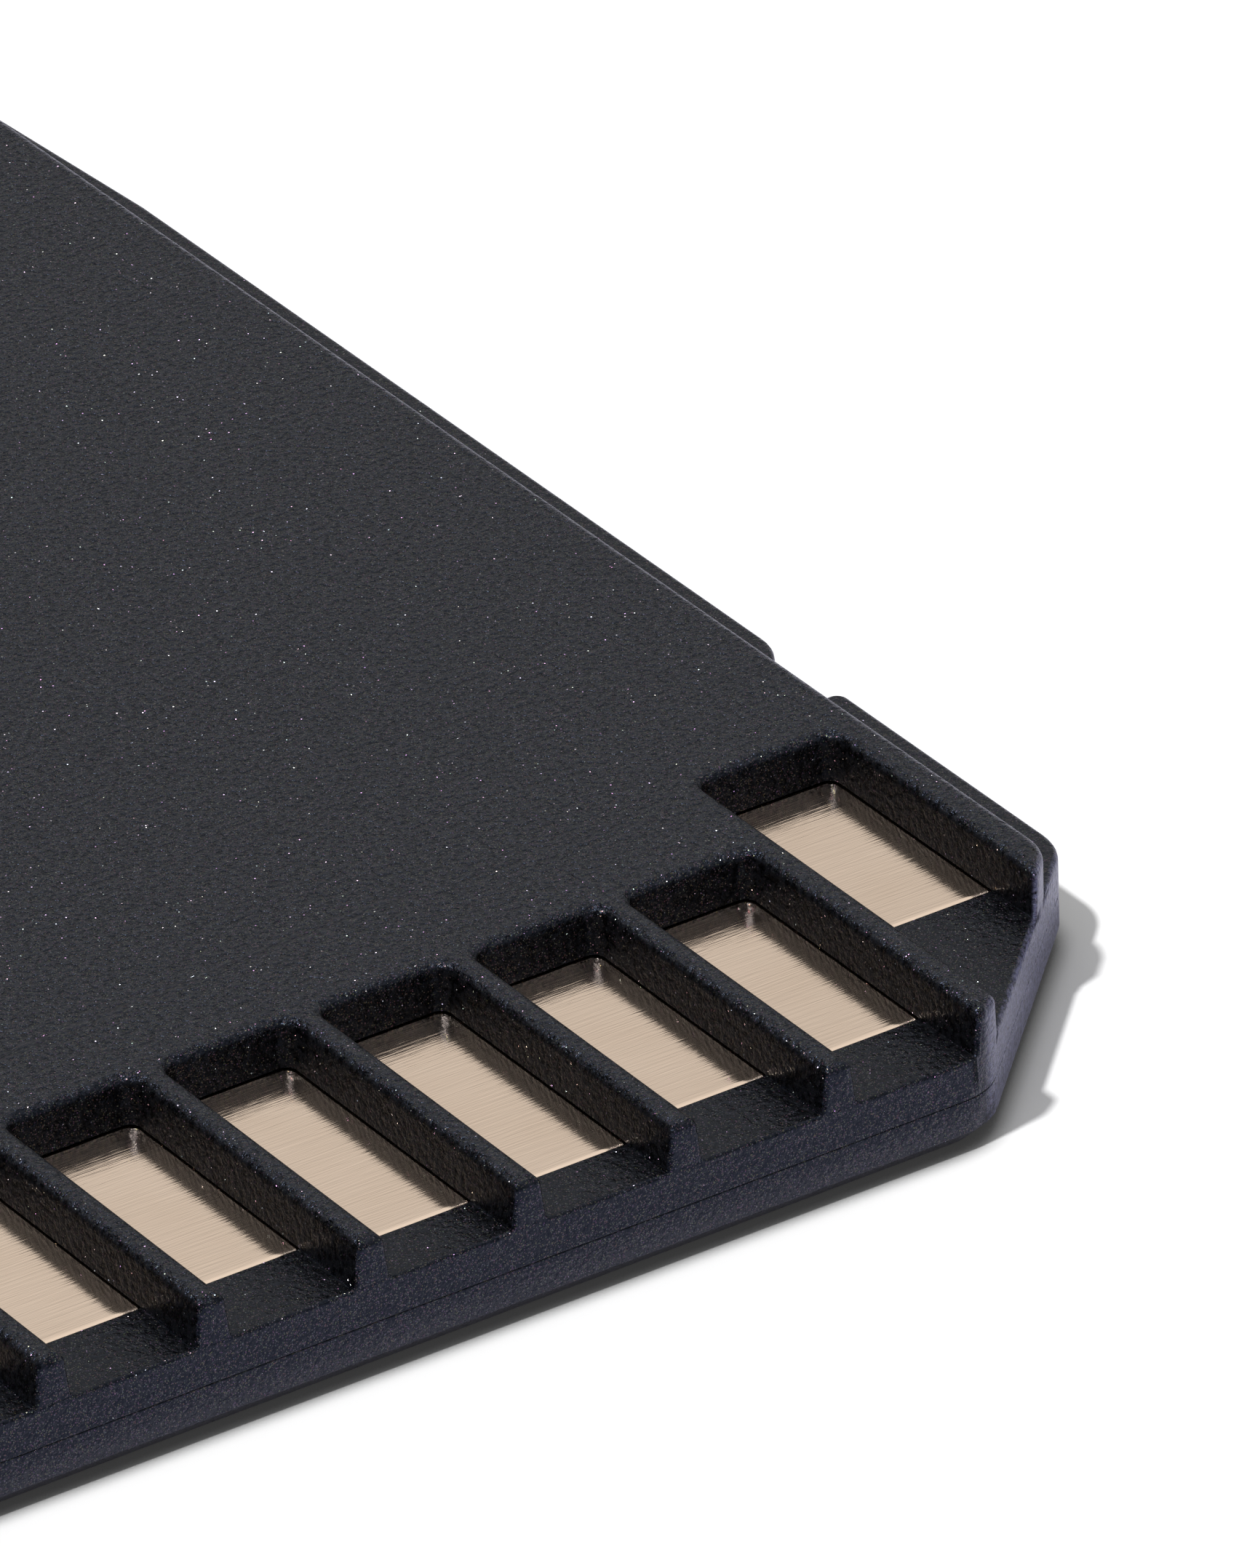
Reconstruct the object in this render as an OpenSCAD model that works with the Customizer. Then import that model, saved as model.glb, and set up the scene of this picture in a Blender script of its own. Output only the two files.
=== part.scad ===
// Full-size memory card adapter, contact side up, with the small card it carries in its rear slot.
// X runs across the card, Y from the contact end to the rear, Z up from the label side.

/* [Body] */
// Width of the adapter across the contacts
body_w = 24; // [23.9:0.05:24.1]
// Length from the contact end to the rear end
body_l = 32; // [31.9:0.05:32.1]
// Thickness over the contact windows
body_t = 2.1; // [2:0.05:2.2]
// Thickness of the guide rails along both sides
rail_t = 1.4; // [1.35:0.05:1.45]
// Width of each guide rail
rail_w = 0.86; // [0.75:0.01:0.95]
// Thickness of the label side shell up to the parting line
label_t = 0.8; // [0.75:0.05:0.9]
// Leg of the cut corner
corner_cut = 4; // [3.5:0.1:4.5]
// Radius of the outer corners
corner_r = 1; // [0.8:0.1:1.2]
// Bevel round the edge of the label side
edge_bevel = 0.3; // [0.1:0.05:0.4]
// How far each side draws in at the rear end
rear_draw = 0.27; // [0.1:0.01:0.4]
// Length over which the sides draw in
rear_draw_l = 4.7; // [3:0.1:6]

/* [Contact windows] */
// Width of a rib between two windows at its foot
rib_w = 0.57; // [0.5:0.01:0.7]
// Width of the rib beside the window in the cut corner
corner_rib_w = 0.61; // [0.5:0.01:0.7]
// Wall outside the first and last window
outer_wall = 0.62; // [0.5:0.01:0.7]
// Rear end of the windows from the contact end
window_rear = 5.42; // [5.2:0.01:5.8]
// Rear end of the window in the cut corner
corner_window_rear = 7.41; // [7.2:0.01:7.6]
// Draft of the window walls over their height
draft = 0.09; // [0.02:0.01:0.15]
// Radius of the rear corners of a window at its floor
window_r = 0.18; // [0.1:0.02:0.5]
// Ledge in front of an ordinary contact
ledge = 1.35; // [1.2:0.01:1.5]
// Ledge in front of the power contacts 3 and 4
power_ledge = 1; // [0.9:0.01:1.2]
// Front of the contact in the cut corner
corner_ledge = 3.57; // [3.4:0.01:3.7]

/* [Side notch] */
// Front wall of the side notch from the contact end
notch_front = 9.37; // [9:0.01:9.6]
// Length of the side notch
notch_l = 1.02; // [0.9:0.01:1.2]

/* [Contact strips] */
// Gap between the pads of contacts 7 and 8
pad_gap = 0.4; // [0.3:0.05:0.5]
// Thickness of the stamped strip
strip_t = 0.15; // [0.12:0.01:0.18]
// Gap between a strip and the shell above it
strip_gap = 0.03; // [0.02:0.01:0.05]
// How far a pad reaches under the window walls
pad_under = 0.1; // [0.05:0.01:0.15]
// How far a pad runs on behind its window
pad_tail = 0.6; // [0.4:0.05:0.8]
// Gap between the ledge and the bent front end of a pad
lip_gap = 0.02; // [0.01:0.01:0.04]
// Width of a strip behind its pad
neck_w = 0.8; // [0.6:0.05:0.9]
// Width of a spring finger
finger_w = 0.55; // [0.45:0.05:0.6]

/* [Small card] */
// Width of the small card
card_w = 11; // [10.9:0.05:11]
// Width of its contact end
card_end_w = 9.7; // [9.6:0.05:9.8]
// Length of the small card
card_l = 15; // [14.9:0.05:15]
// Thickness of the small card
card_t = 0.7; // [0.65:0.01:0.72]
// Thickness at the grip lip
card_lip_t = 1; // [0.95:0.01:1]
// Length of the grip lip
card_lip_l = 1.6; // [1.4:0.1:1.8]
// Distance from the contact end to the step in its side
card_step_y = 6.4; // [6.2:0.1:6.6]
// Distance from the contact end to its pads
card_pad_y = 0.6; // [0.5:0.05:0.8]
// Distance between its contact pads
card_pitch = 1.1; // [1.05:0.01:1.1]
// Width of one of its contact pads
card_pad_w = 0.8; // [0.6:0.05:0.85]
// Length of one of its contact pads
card_pad_l = 2.9; // [2.5:0.1:3]

/* [Write protect slider] */
// Length of the slider
slider_l = 3.2; // [3:0.1:3.4]
// Travel of the slider
slider_travel = 2.7; // [2.4:0.1:2.8]
// Front end of the slider from the contact end
slider_front = 6.65; // [6.5:0.05:6.8]

/* [Clearances] */
// Clearance round the sliding pieces
slide_gap = 0.05; // [0.04:0.01:0.06]
// Side clearance of the small card in its slot
card_gap = 0.1; // [0.06:0.01:0.12]

/* [Hidden] */
$fn = 64;
cut = 0.1;
half_w = body_w / 2;
deck_x = half_w - rail_w;
pitch = (body_w - corner_cut) / 8;
window_w = pitch - rib_w;
window_x = 2.72 * pitch;
window_h = body_t - rail_t;
last_window_x1 = window_x - 5 * pitch - window_w / 2 - rib_w;
side_window_x = deck_x - outer_wall;
corner_window_x0 = window_x + window_w / 2 + corner_rib_w;
contact_7_x = window_x - 6 * pitch + 0.07;
contact_8_x = contact_7_x - pitch + 0.8;
between_7_and_8 = (contact_7_x + contact_8_x) / 2;
strip_z = rail_t - strip_gap - strip_t;
pocket_x = side_window_x + pad_under + 0.05;
bend_r = strip_t + 0.02;
card_front = body_l - card_l;
neck_end = corner_window_rear + pad_tail + 0.49;
finger_start = card_front - 4;
finger_root = card_front - 1;
finger_touch = card_front + 1.5;
finger_tip = card_front + 2.3;
finger_gap = 0.03;
card_top = strip_z - 0.12;
card_z = card_top - card_t;
card_pads_x = (card_end_w - card_w) / 2;
card_end_x = card_end_w - card_w / 2;
card_r = 0.8;
card_pad_t = 0.05;
finger_zone_end = card_front + 4;
link_y = neck_end + 0.8;
link_l = 0.8;
link_z = strip_z - 0.22;
tongue_z = 0.3;
tongue_w = 0.54;
peg_r = 0.6;
peg_h = 0.5;

// Every piece is drawn from the contact end and put in place here
module placed() {
    translate([0, -body_l / 2, 0]) children();
}

// A convex outline through the points p, each corner rounded to its radius in r
module rounded_outline(p, r) {
    n = len(p);
    inward = [for (i = [0:n - 1]) unit(p[(i + n - 1) % n] - p[i])];
    onward = [for (i = [0:n - 1]) unit(p[(i + 1) % n] - p[i])];
    half = [for (i = [0:n - 1]) acos(inward[i] * onward[i]) / 2];
    polygon([for (i = [0:n - 1]) for (d = [inward[i], onward[i]]) p[i] + d * r[i] / tan(half[i])]);
    for (i = [0:n - 1]) {
        if (r[i] > 0) {
            translate(p[i] + unit(inward[i] + onward[i]) * r[i] / sin(half[i])) circle(r[i]);
        }
    }
}

function unit(v) = v / norm(v);
function window_centre(k) = window_x - (k - 1) * pitch;
function pad_x0(k) = k == 9 ? corner_window_x0 - pad_under
    : k == 8 ? -side_window_x - pad_under
    : k == 7 ? between_7_and_8 + pad_gap / 2
    : window_centre(k) - window_w / 2 - pad_under;
function pad_x1(k) = k == 9 ? side_window_x + pad_under
    : k == 8 ? between_7_and_8 - pad_gap / 2
    : k == 7 ? last_window_x1 + pad_under
    : window_centre(k) + window_w / 2 + pad_under;
function pad_y0(k) = k == 9 ? corner_ledge : k == 3 || k == 4 ? power_ledge : ledge;
function pad_y1(k) = (k == 9 ? corner_window_rear : window_rear) + pad_tail;
function neck_x(k) = (pad_x0(k) + pad_x1(k)) / 2;
function card_pad_x(i) = card_pads_x + (4.5 - i) * card_pitch;
function finger_x(k) = card_pad_x(k == 9 ? 1 : k < 3 ? k + 1 : k);
function link_x() = neck_x(6) - 0.3
    + (finger_x(6) - neck_x(6)) * (link_y - neck_end) / (finger_start - neck_end);

outer_points = [[-half_w, 0], [half_w - corner_cut, 0], [half_w, corner_cut],
    [half_w, body_l - rear_draw_l], [half_w - rear_draw, body_l], [-half_w + rear_draw, body_l],
    [-half_w, body_l - rear_draw_l]];
outer_radii = [corner_r, corner_r, corner_r, 0, corner_r, corner_r, 0];

module card_outline() {
    rounded_outline(outer_points, outer_radii);
}

// The thicker middle part between the two rails
module deck_outline() {
    rounded_outline(
        [[-deck_x, 0], [half_w - corner_cut, 0], [deck_x, corner_cut - rail_w], [deck_x, body_l],
            [-deck_x, body_l]],
        [0.5, corner_r, 0.8, 0.5, 0.5]);
}

// One window: walls drafted outwards from the floor, open to the contact end
module window_cut(x0, x1, y1) {
    h = window_h + cut;
    d = draft * h / window_h;
    translate([0, y1 - window_r, rail_t]) rotate([90, 0, 0])
        linear_extrude(height = y1 - window_r + 2)
            polygon([[x0, 0], [x1, 0], [x1 + d, h], [x0 - d, h]]);
    translate([x0 + window_r, 0, rail_t]) rotate([90, 0, 90])
        linear_extrude(height = x1 - x0 - 2 * window_r)
            polygon([[-2, 0], [y1, 0], [y1 + d, h], [-2, h]]);
    for (x = [x0 + window_r, x1 - window_r]) {
        translate([x, y1 - window_r, rail_t]) cylinder(h = h, r1 = window_r, r2 = window_r + d);
    }
}

module windows() {
    for (k = [1:6]) {
        window_cut(window_centre(k) - window_w / 2, window_centre(k) + window_w / 2, window_rear);
    }
    window_cut(-side_window_x, last_window_x1, window_rear);
    window_cut(corner_window_x0, side_window_x, corner_window_rear);
}

// The space under the deck that holds the strips and lets their fingers spring
module strip_pocket_outline() {
    half_rib = rib_w / 2;
    front = [for (k = [6:-1:1]) for (s = [-1, 1])
        [window_centre(k) + s * (window_w / 2 + half_rib), pad_y0(k)]];
    polygon(concat(
        [[-pocket_x, ledge]],
        front,
        [[window_centre(1) + window_w / 2 + half_rib, corner_ledge], [pocket_x, corner_ledge],
            [pocket_x, neck_end + 1.3], [card_end_x + card_gap, finger_start + 1.2],
            [card_end_x + card_gap, finger_zone_end],
            [-card_w / 2 - card_gap, finger_zone_end], [-card_w / 2 - card_gap, finger_start + 1.2],
            [-pocket_x, neck_end + 1.3]]));
}

// Plan of the small card grown by the gap g, its contact end at y 0
module card_plan(g) {
    x0 = -card_w / 2 - g;
    x1 = card_w / 2 + g;
    xe = card_end_x + g;
    step = card_w - card_end_w;
    polygon([[x0, -g], [xe, -g], [xe, card_step_y - g], [x1, card_step_y - g + step],
        [x1, card_l + g], [x0, card_l + g]]);
}

// The slot for the small card, open at the rear, between the heights z0 and z1
module card_slot(z0, z1) {
    translate([0, card_front, z0]) linear_extrude(height = z1 - z0) card_plan(card_gap);
    translate([-card_w / 2 - card_gap, body_l - 1, z0])
        cube([card_w + 2 * card_gap, 2, z1 - z0]);
}

// The notch in the rail beside the cut corner, its two lips rounded
module side_notch() {
    near_r = 0.2;
    far = notch_front + notch_l;
    translate([0, 0, -cut]) linear_extrude(height = rail_t + cut) {
        translate([deck_x, notch_front]) square([rail_w + cut, notch_l]);
        difference() {
            translate([deck_x, far - 0.01]) square([rail_w + cut, rail_w + 0.01]);
            translate([deck_x, far + rail_w]) circle(rail_w);
        }
        difference() {
            translate([half_w - near_r, notch_front - near_r]) square([near_r + cut, near_r + 0.01]);
            translate([half_w - near_r, notch_front - near_r]) circle(near_r);
        }
    }
}

// The gap in the other rail that the slider runs in
module slider_notch() {
    translate([-half_w - cut, slider_front - slide_gap, -cut])
        cube([rail_w + cut, slider_l + slider_travel + 2 * slide_gap, rail_t + cut]);
}

module peg_places() {
    for (x = [3 - half_w, half_w - 3]) {
        for (y = [card_front + 1, body_l - 4]) {
            translate([x, y, label_t]) children();
        }
    }
}

module contact_side_shell() {
    color("#32333a") placed() difference() {
        union() {
            translate([0, 0, label_t]) linear_extrude(height = rail_t - label_t) card_outline();
            translate([0, 0, rail_t - 0.2]) linear_extrude(height = window_h + 0.2) deck_outline();
        }
        windows();
        translate([0, 0, label_t - cut]) linear_extrude(height = rail_t - label_t + cut)
            strip_pocket_outline();
        card_slot(label_t - cut, card_top + slide_gap);
        side_notch();
        slider_notch();
        peg_places() translate([0, 0, -cut]) cylinder(h = peg_h + 2 * cut, r = peg_r + slide_gap);
    }
}

// Section of the bevel cutter: x is measured outwards from the edge, y upwards
module bevel_section() {
    b = edge_bevel;
    polygon([[-b - cut, -cut], [1, -cut], [1, b + cut], [cut, b + cut]]);
}

// The bevel round the label side, taken off edge by edge and corner by corner
module bevel_cutters() {
    n = len(outer_points);
    for (i = [0:n - 1]) {
        p = outer_points[i];
        d = outer_points[(i + 1) % n] - p;
        translate([p[0], p[1], 0]) rotate([90, 0, atan2(d[1], d[0]) - 90])
            translate([0, 0, -norm(d) - 2]) linear_extrude(height = norm(d) + 4) bevel_section();
    }
    for (i = [0:n - 1]) {
        if (outer_radii[i] > 0) {
            inward = unit(outer_points[(i + n - 1) % n] - outer_points[i]);
            onward = unit(outer_points[(i + 1) % n] - outer_points[i]);
            half = acos(inward * onward) / 2;
            centre = outer_points[i] + unit(inward + onward) * outer_radii[i] / sin(half);
            turn = atan2(onward[1], onward[0]) - 270 + 2 * half;
            translate([centre[0], centre[1], 0]) rotate([0, 0, turn])
                rotate_extrude(angle = 180 - 2 * half) translate([outer_radii[i], 0]) bevel_section();
        }
    }
}

// The raised bed under the strips
module strip_bed() {
    corner_x = window_centre(1) + window_w / 2 + rib_w / 2;
    bed_x = pocket_x - 0.12;
    translate([0, 0, label_t - 0.2]) linear_extrude(height = strip_z - label_t + 0.2)
        polygon([[-bed_x, ledge + 0.3], [corner_x, ledge + 0.3], [corner_x, corner_ledge + 0.3],
            [bed_x, corner_ledge + 0.3], [bed_x, neck_end + 1.2], [card_end_x, finger_start + 0.9],
            [-card_w / 2, finger_start + 0.9], [-bed_x, neck_end + 1.2]]);
}

module label_side_shell() {
    color("#2c2e38") placed() difference() {
        union() {
            difference() {
                linear_extrude(height = label_t) card_outline();
                bevel_cutters();
            }
            strip_bed();
            peg_places() translate([0, 0, -0.2]) cylinder(h = peg_h + 0.2, r = peg_r);
        }
        card_slot(card_z - slide_gap, label_t + cut);
        translate([-card_w / 2 - card_gap, body_l - card_lip_l - 2 * card_gap, -cut])
            cube([card_w + 2 * card_gap, card_lip_l + 1, card_z + 2 * cut]);
        side_notch();
        slider_notch();
        translate([-deck_x - cut, slider_front - slide_gap, tongue_z])
            cube([tongue_w + cut, slider_l + slider_travel + 2 * slide_gap, label_t - tongue_z + cut]);
        translate([link_x() - 0.15, link_y - link_l / 2 - 0.15, link_z - slide_gap])
            cube([neck_x(3) + neck_w / 2 + 0.3 - link_x(), link_l + 0.3, 1]);
    }
}

// Pad with its front end bent down behind the ledge
module strip_pad(k) {
    x0 = pad_x0(k);
    w = pad_x1(k) - x0;
    y0 = pad_y0(k) + lip_gap;
    translate([x0, y0 + bend_r, strip_z]) cube([w, pad_y1(k) - y0 - bend_r, strip_t]);
    translate([x0, y0 + bend_r, strip_z + strip_t - bend_r]) rotate([90, 0, 90])
        linear_extrude(height = w) intersection() {
            difference() {
                circle(bend_r);
                circle(bend_r - strip_t);
            }
            translate([-bend_r - cut, 0]) square([bend_r + cut, bend_r + cut]);
        }
    translate([x0, y0, strip_z - 0.15]) cube([w, strip_t, 0.15 + strip_t - bend_r]);
}

// Way of a strip from its pad to its spring finger
module strip_neck(k) {
    x = neck_x(k);
    y0 = pad_y1(k) - 0.2;
    xf = finger_x(k);
    touch_z = card_top + finger_gap;
    translate([0, 0, strip_z]) linear_extrude(height = strip_t)
        polygon([[x - neck_w / 2, y0], [x + neck_w / 2, y0], [x + neck_w / 2, neck_end],
            [xf + finger_w / 2, finger_start], [xf + finger_w / 2, finger_start + 0.2],
            [xf - finger_w / 2, finger_start + 0.2], [xf - finger_w / 2, finger_start],
            [x - neck_w / 2, neck_end]]);
    translate([xf - finger_w / 2, 0, 0]) rotate([90, 0, 90]) linear_extrude(height = finger_w)
        polygon([[finger_start + 0.1, strip_z], [finger_root, strip_z],
            [finger_touch - 0.2, touch_z], [finger_touch + 0.2, touch_z], [finger_tip, strip_z],
            [finger_tip, strip_z + 0.12], [finger_touch + 0.2, touch_z + 0.12],
            [finger_touch - 0.2, touch_z + 0.12], [finger_root, strip_z + strip_t],
            [finger_start + 0.1, strip_z + strip_t]]);
}

// Ground contact 3 has no finger of its own: it passes under 4 and 5 to contact 6
module ground_link() {
    x = neck_x(3) - neck_w / 2;
    y0 = pad_y1(3) - 0.2;
    y = link_y - link_l / 2;
    translate([x, y0, strip_z]) cube([neck_w, y + link_l - y0, strip_t]);
    translate([link_x(), y, link_z]) cube([x + neck_w - link_x(), link_l, strip_t]);
    translate([x, y, link_z]) cube([neck_w, link_l, strip_z - link_z + 0.02]);
    translate([link_x(), y, link_z]) cube([0.5, link_l, strip_z - link_z]);
}

module contact_strip(k) {
    color("#c4b2a0") placed() {
        strip_pad(k);
        if (k == 3) {
            ground_link();
        } else {
            strip_neck(k);
        }
    }
}

module contact_strip_1() { contact_strip(1); }
module contact_strip_2() { contact_strip(2); }
module contact_strip_3() { contact_strip(3); }
module contact_strip_4() { contact_strip(4); }
module contact_strip_5() { contact_strip(5); }
module contact_strip_6() { contact_strip(6); }
module contact_strip_7() { contact_strip(7); }
module contact_strip_8() { contact_strip(8); }
module contact_strip_9() { contact_strip(9); }

// Shown in its unlocked place, at the contact end of its gap
module write_protect_slider() {
    color("#b9bbbd") placed() difference() {
        union() {
            translate([-half_w + slide_gap, slider_front, slide_gap])
                cube([rail_w - 2 * slide_gap, slider_l, rail_t - 2 * slide_gap]);
            translate([-deck_x - 0.1, slider_front, tongue_z + slide_gap])
                cube([tongue_w + 0.1 - slide_gap, slider_l, label_t - tongue_z - 2 * slide_gap]);
        }
        for (i = [-1:1]) {
            translate([-half_w, slider_front + slider_l / 2 + i * 0.6 - 0.12, -cut])
                cube([slide_gap + 0.15, 0.24, rail_t + 2 * cut]);
        }
    }
}

module microsd_body() {
    color("#1d1e22") placed() translate([0, card_front, card_z]) difference() {
        union() {
            linear_extrude(height = card_t) microsd_outline();
            translate([-card_w / 2 + card_r, card_l - card_lip_l, card_t - card_lip_t])
                cube([card_w - 2 * card_r, card_lip_l, card_lip_t - card_t + 0.1]);
        }
        for (i = [1:8]) {
            translate([card_pad_x(i) - card_pad_w / 2, card_pad_y, card_t - card_pad_t])
                cube([card_pad_w, card_pad_l, card_pad_t + cut]);
        }
    }
}

// Straight on one side, stepped out and notched on the other
module microsd_outline() {
    step = card_w - card_end_w;
    difference() {
        union() {
            rounded_outline(
                [[-card_w / 2, 0], [card_end_x, 0], [card_end_x, card_l], [-card_w / 2, card_l]],
                [card_r, card_r, 0, card_r]);
            rounded_outline(
                [[0, card_step_y], [card_end_x, card_step_y], [card_w / 2, card_step_y + step],
                    [card_w / 2, card_l], [0, card_l]],
                [0, 0, 0, card_r, 0]);
        }
        translate([card_w / 2, 8.4])
            polygon([[cut, -0.1], [0, 0], [-0.6, 0.4], [-0.6, 0.9], [0, 1.3], [cut, 1.4]]);
    }
}

module microsd_pad(i) {
    color("#c9a560") placed()
        translate([card_pad_x(i) - card_pad_w / 2, card_front + card_pad_y, card_top - card_pad_t])
            cube([card_pad_w, card_pad_l, card_pad_t]);
}

module microsd_pad_1() { microsd_pad(1); }
module microsd_pad_2() { microsd_pad(2); }
module microsd_pad_3() { microsd_pad(3); }
module microsd_pad_4() { microsd_pad(4); }
module microsd_pad_5() { microsd_pad(5); }
module microsd_pad_6() { microsd_pad(6); }
module microsd_pad_7() { microsd_pad(7); }
module microsd_pad_8() { microsd_pad(8); }

contact_side_shell();
label_side_shell();
contact_strip_1();
contact_strip_2();
contact_strip_3();
contact_strip_4();
contact_strip_5();
contact_strip_6();
contact_strip_7();
contact_strip_8();
contact_strip_9();
write_protect_slider();
microsd_body();
microsd_pad_1();
microsd_pad_2();
microsd_pad_3();
microsd_pad_4();
microsd_pad_5();
microsd_pad_6();
microsd_pad_7();
microsd_pad_8();
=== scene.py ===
"""Looks of a full-size memory card adapter that carries a small flash card."""
import math

import bmesh
import bpy
from mathutils import Matrix, Vector
from mathutils.geometry import tessellate_polygon


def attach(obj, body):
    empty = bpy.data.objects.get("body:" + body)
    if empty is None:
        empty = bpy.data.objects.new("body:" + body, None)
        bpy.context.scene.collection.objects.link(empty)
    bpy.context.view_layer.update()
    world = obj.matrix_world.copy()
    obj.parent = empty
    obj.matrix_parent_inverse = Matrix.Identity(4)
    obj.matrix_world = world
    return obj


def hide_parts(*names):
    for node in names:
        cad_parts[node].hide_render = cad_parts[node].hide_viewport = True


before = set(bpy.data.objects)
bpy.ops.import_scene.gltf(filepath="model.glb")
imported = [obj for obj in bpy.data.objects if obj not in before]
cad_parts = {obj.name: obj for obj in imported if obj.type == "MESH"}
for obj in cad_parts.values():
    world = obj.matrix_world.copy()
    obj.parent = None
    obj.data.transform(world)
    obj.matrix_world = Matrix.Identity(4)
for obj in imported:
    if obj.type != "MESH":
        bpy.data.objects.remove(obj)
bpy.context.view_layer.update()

# Lengths are in millimetres, turns in radians, unless a line says otherwise
MM = 0.001

# The card, as its solids have it
HALF_LENGTH = 16.0
THICKNESS = 2.1
RAIL_TOP = 1.4
PARTING = 0.8
DECK_SIDE = 11.14
# What x - y comes to along the cut corner
CUT_LINE = 24.0

# The raised part: how far its walls lean in, how its top edges and corners are rounded, in how many steps
DRAFT = 0.09
TOP_ROUND = 0.16
TOP_STEPS = 6
CORNER_ROUND = 0.07
LEAST_CORNER = 0.02
CORNER_SHRINK = 0.6
FAN_STEPS = 4
FOOT = 0.03
# How long a stretch of wall gives way beside a rounded corner, and beside one bent back like a hook
CORNER_SPAN = 0.6
HOOK_SPAN = 1.0
HOOK_SHARE = 0.6

# Rounding of the rails, the ledges in the windows, the front edge and the parting line
RAIL_ROUND = 0.1
LEDGE_ROUND = 0.03
FRONT_ROUND = 0.06
PARTING_ROUND = 0.02
ROUND_STEPS = 4
# What tells a ledge in a window from the rails, and the front edge from the rest
INSIDE = 0.5
BESIDE_DECK = 0.05
AT_FRONT = 0.01
# A rounding dies away over this length where it meets the raised part, and further at an acute angle
TAPER = 0.04
ACUTE_TAPER = 3.5 * TAPER
RING_SHARE = 0.55
LEAST_MITRE = 0.4
FAR_OFF = 9.0

# Turns of the foot line: under STRAIGHT it runs on, from CORNER_TURN it has a corner and from HOOK_TURN a hook.
# The short edges of an outward arc turn by up to ARC_TURN. Lines nearer than PARALLEL don't cross
STRAIGHT = 0.03
CORNER_TURN = 0.7
ARC_TURN = 1.0
HOOK_TURN = 2.0
LONGEST_ARC_EDGE = 0.32
PARALLEL = 0.02

# What counts as at a height, leaning, level or upright, and within what distance vertices are joined
AT_HEIGHT = 0.003
LEANING = 0.03
LEVEL = 0.9
UPRIGHT = 0.1
TRIANGLE_WELD = 0.002
BISECT_NEAR = 0.0005
RING_WELD = 0.0004
SEAM_WELD = 0.0002
FLAT_ANGLE = math.radians(0.4)
SHARP_ANGLE = math.radians(35)

STRIPS = range(1, 10)
PADS = range(1, 9)
# The contacts' front bend: its radius, how square it is drawn, and how near a vertex lies to the arc
BEND_RADIUS = 0.17
BEND_SHARPNESS = 6.0
ARC_FROM = 0.02
ARC_NEAR = 0.05

# The small card's pads
PAD_CORNER = 0.12
PAD_CORNER_POINTS = 5
PAD_RIM = 0.015
PAD_WELD = 0.0005

# Grain of the black shells: counts per millimetre, and heights
PEBBLES = 10.5
PEBBLE_HEIGHT = 0.085
GRIT = 30.0
GRIT_HEIGHT = 0.012
DECK_GRAIN_FROM = RAIL_TOP + 0.6
DECK_GRAIN_FULL = RAIL_TOP + 0.695
# How much of the grain, and of the crests' lighter tone, shows below the broad face; the rest of that tone is
# painted shade
SHALLOW_GRAIN_AND_SHADE = 0.35
FIBRES = 44.0
FIBRE_REACH = 0.45
GLINT_SHARE = 0.08
DRAG_MARKS = (9.0, 9.0, 22.0)

# Rolling lines of the strips: counts per millimetre along each axis, and their height
ROLLING_LINES = (1.1, 26.0, 1.0)
LINE_HEIGHT = 0.0034

# The photograph's camera: seen from the contact end and the left, with a long lens
CAMERA_AZIMUTH = -33.043
CAMERA_ELEVATION = 29.883
CAMERA_ROLL = -1.927
CAMERA_DISTANCE = 260.0
CAMERA_AIM = (7.497, -8.044, 2.1)
PIXELS_HIGH = 2156
FOCAL_PIXELS = 26010.0
SENSOR_HEIGHT = 24.0
NEAREST_SEEN = 0.01
FARTHEST_SEEN = 5.0

# The light: the lamp's strength and width in degrees, the surround's level, and how gloss sees the room
# from the horizon up, where it is darker to the left, behind the lamp
TOWARD_LAMP = (-0.471, -0.062, 0.880)
LAMP_STRENGTH = 2.4
LAMP_WIDTH = 4
SURROUND = 0.45
HORIZON = 0.42
ROOM_GREYS = ((0.35, HORIZON), (0.5, 0.5), (0.7, 0.8))
LEFT_OF_ROOM = 0.28

# The floor, in metres, and the reach of the painted contact shadow where the card touches it
FLOOR_REACH = 0.6
FLOOR_DROP = 0.00002
CONTACT_SHADOW_REACH = 0.0005


def linear(code):
    """sRGB hex code as linear red, green, blue, alpha."""
    values = [int(code[i:i + 2], 16) / 255 for i in (1, 3, 5)]
    return tuple(v / 12.92 if v <= 0.04045 else ((v + 0.055) / 1.055) ** 2.4 for v in values) + (1.0,)


def add(tree, kind, inputs=None, **settings):
    """A new node of this kind. A value in inputs is set on its socket, and a socket is linked to it."""
    new = tree.nodes.new(kind)
    for key, value in settings.items():
        setattr(new, key, value)
    for key, value in (inputs or {}).items():
        if isinstance(value, bpy.types.NodeSocket):
            tree.links.new(value, new.inputs[key])
        else:
            new.inputs[key].default_value = value
    return new


def set_choice(node, socket, prop, value):
    """Set a choice that some versions keep on the node and others on a socket."""
    if hasattr(node, prop):
        setattr(node, prop, value)
    else:
        node.inputs[socket].default_value = value


def new_material(name):
    material = bpy.data.materials.new(name)
    material.use_nodes = True
    material.node_tree.nodes.clear()
    return material, material.node_tree


def finish_material(tree, surface):
    add(tree, "ShaderNodeOutputMaterial", {"Surface": surface})


def millimetres(tree):
    """Object coordinates counted in millimetres."""
    place = add(tree, "ShaderNodeTexCoord").outputs["Object"]
    return add(tree, "ShaderNodeVectorMath", {0: place, 1: (1000, 1000, 1000)}, operation="MULTIPLY").outputs[0]


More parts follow.
